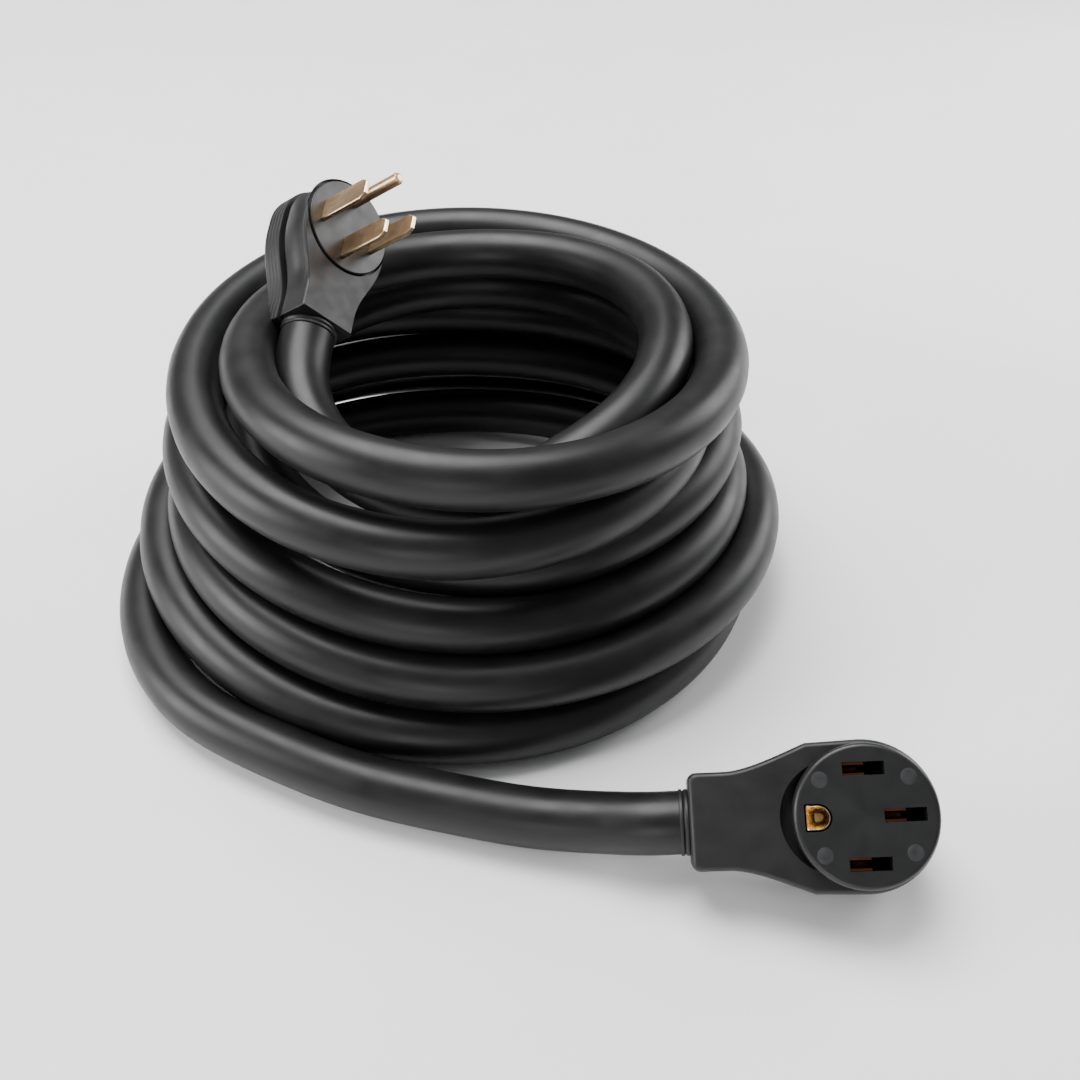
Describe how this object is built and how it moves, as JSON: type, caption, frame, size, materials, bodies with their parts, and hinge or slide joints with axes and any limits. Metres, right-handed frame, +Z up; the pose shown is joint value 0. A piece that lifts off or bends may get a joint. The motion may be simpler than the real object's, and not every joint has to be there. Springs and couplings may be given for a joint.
{
  "type": "shore power cord",
  "caption": "Heavy black power cord in a loose coil, with a right-angle four-blade plug lying on the coil and a right-angle four-slot connector lying in front of it.",
  "frame": {"origin": "on the surface that the cord lies on, under the middle of its overall box", "axes": "+Z up, +X to the right and +Y to the back as seen from the side the connector lies on; the coil's axis is along Z"},
  "size_m": [0.3441, 0.3676, 0.1843],
  "materials": {
    "jacket": "satin extruded rubber",
    "moulding": "matte moulded rubber",
    "face": "matte moulded plastic",
    "rivet": "smooth grey plug of plastic",
    "carrier": "matte phenolic",
    "copper": "copper-coloured brass, lightly rubbed",
    "brass": "bright brass",
    "wire_black": "satin insulation",
    "wire_red": "satin insulation",
    "wire_white": "satin insulation",
    "wire_green": "satin insulation"
  },
  "bodies": {
    "root": {"blade_hot_a": "copper", "blade_hot_b": "copper", "blade_neutral": "copper", "connector_body": "moulding", "connector_carrier": "carrier", "connector_collar": "moulding", "connector_face": "face", "connector_wire_ground": "wire_green", "connector_wire_hot_a": "wire_black", "connector_wire_hot_b": "wire_red", "connector_wire_neutral": "wire_white", "contact_ground": "brass", "contact_hot_a": "copper", "contact_hot_b": "copper", "contact_neutral": "copper", "cord_coil": "jacket", "cord_lead": "jacket", "cord_tail": "jacket", "face_rivet_1": "rivet", "face_rivet_2": "rivet", "face_rivet_3": "rivet", "face_rivet_4": "rivet", "pin_ground": "copper", "plug_body": "moulding", "plug_collar": "moulding", "plug_face": "face", "plug_wire_ground": "wire_green", "plug_wire_hot_a": "wire_black", "plug_wire_hot_b": "wire_red", "plug_wire_neutral": "wire_white"}
  },
  "joints": []
}
